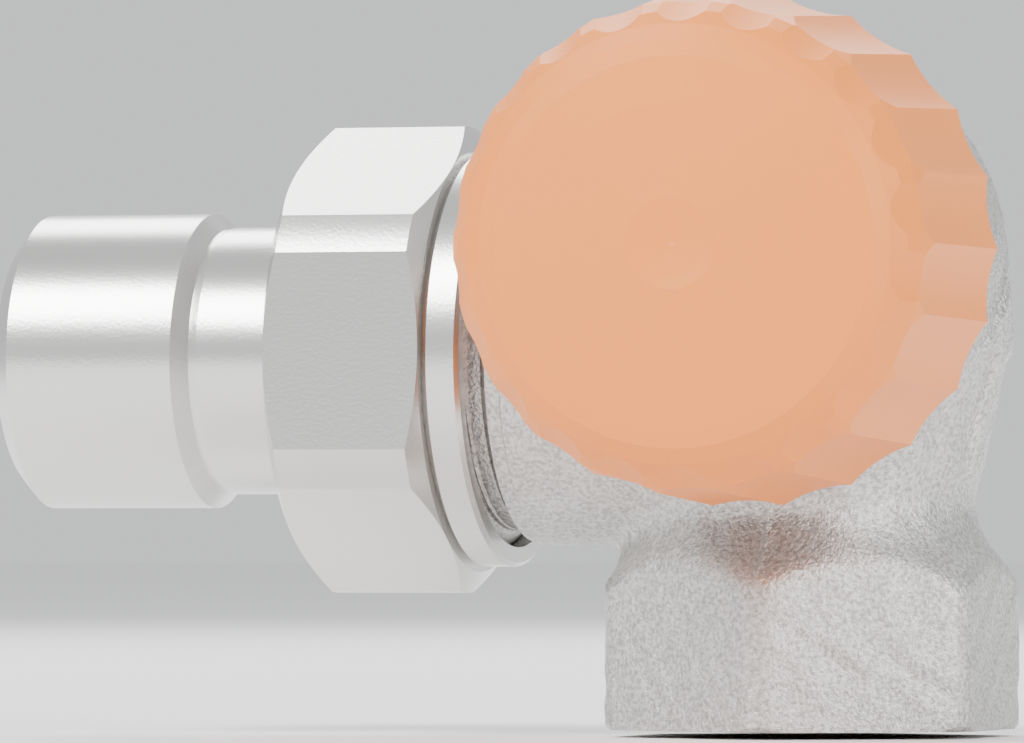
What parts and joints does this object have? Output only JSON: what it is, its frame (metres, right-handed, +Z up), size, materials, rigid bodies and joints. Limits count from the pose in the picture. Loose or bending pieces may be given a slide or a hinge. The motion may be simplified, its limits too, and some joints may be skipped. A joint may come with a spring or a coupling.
{
  "type": "angled radiator flow control valve",
  "caption": "Corner-pattern radiator valve with a threaded inlet socket, a swivel union tail, a fluted hand cap and a flow limiting insert.",
  "frame": {"origin": "centre of the inlet socket mouth, at the outer end of its thread", "axes": "+Z up the inlet axis into the valve, -X out along the union tail, -Y out of the valve head"},
  "size_m": [0.0751, 0.0512, 0.0504],
  "materials": {
    "nickel_casting": "nickel plated over a fine sand-cast skin",
    "nickel_plate": "nickel plated over turned brass",
    "orange_plastic": "fine matte moulding",
    "bare_brass": "turned",
    "black_rubber": "satin",
    "spring_steel": "bright",
    "grey_plastic": "moulded",
    "white_plastic": "moulded"
  },
  "bodies": {
    "body": {"valve_body": "nickel_casting", "insert_body": "bare_brass", "insert_seal": "black_rubber", "flow_cage": "grey_plastic"},
    "setting": {"setting_sleeve": "bare_brass", "sleeve_seal": "black_rubber", "sleeve_clip": "spring_steel", "setting_ring": "white_plastic", "gland_nut": "bare_brass", "gland_outer_seal": "black_rubber", "gland_pin_seal": "black_rubber", "stem_seal": "black_rubber", "limiter_clip": "spring_steel", "return_spring": "spring_steel", "limiter_spring": "spring_steel"},
    "spindle": {"spindle_pin": "spring_steel", "pin_washer": "spring_steel", "pin_clip": "spring_steel", "stem": "bare_brass", "disc_carrier": "bare_brass", "valve_disc": "black_rubber", "disc_screw": "bare_brass"},
    "cap": {"protective_cap": "orange_plastic"},
    "limiter": {"limiter_piston": "grey_plastic"},
    "tail": {"union_tail": "nickel_plate"},
    "nut": {"union_nut": "nickel_plate"}
  },
  "joints": [
    {"name": "spindle_slide", "type": "slide", "parent": "body", "child": "spindle", "axis": [0, 1, 0], "range_m": [0, 0.003], "deforming": ["return_spring"]},
    {"name": "cap_turn", "type": "hinge", "parent": "spindle", "child": "cap", "pos_m": [0, -0.024, 0.033], "axis": [0, 1, 0], "range_deg": [0, 720]},
    {"name": "setting_turn", "type": "hinge", "parent": "body", "child": "setting", "pos_m": [0, -0.02, 0.033], "axis": [0, 1, 0], "range_deg": [0, 150]},
    {"name": "limiter_slide", "type": "slide", "parent": "setting", "child": "limiter", "axis": [0, -1, 0], "range_m": [0, 0.0015], "stiffness_N_per_m": 300, "springref_m": -0.001, "deforming": ["limiter_spring"]},
    {"name": "tail_slide", "type": "slide", "parent": "body", "child": "tail", "axis": [-1, 0, 0], "range_m": [0, 0.00816]},
    {"name": "nut_turn", "type": "hinge", "parent": "tail", "child": "nut", "pos_m": [-0.03, 0, 0.026], "axis": [-1, 0, 0], "range_deg": [0, 1620]}
  ],
  "couplings": [
    {"joint": "spindle_slide", "follows": "cap_turn", "m_per_rad": 0.00023873},
    {"joint": "tail_slide", "follows": "nut_turn", "m_per_rad": 0.00028871}
  ]
}
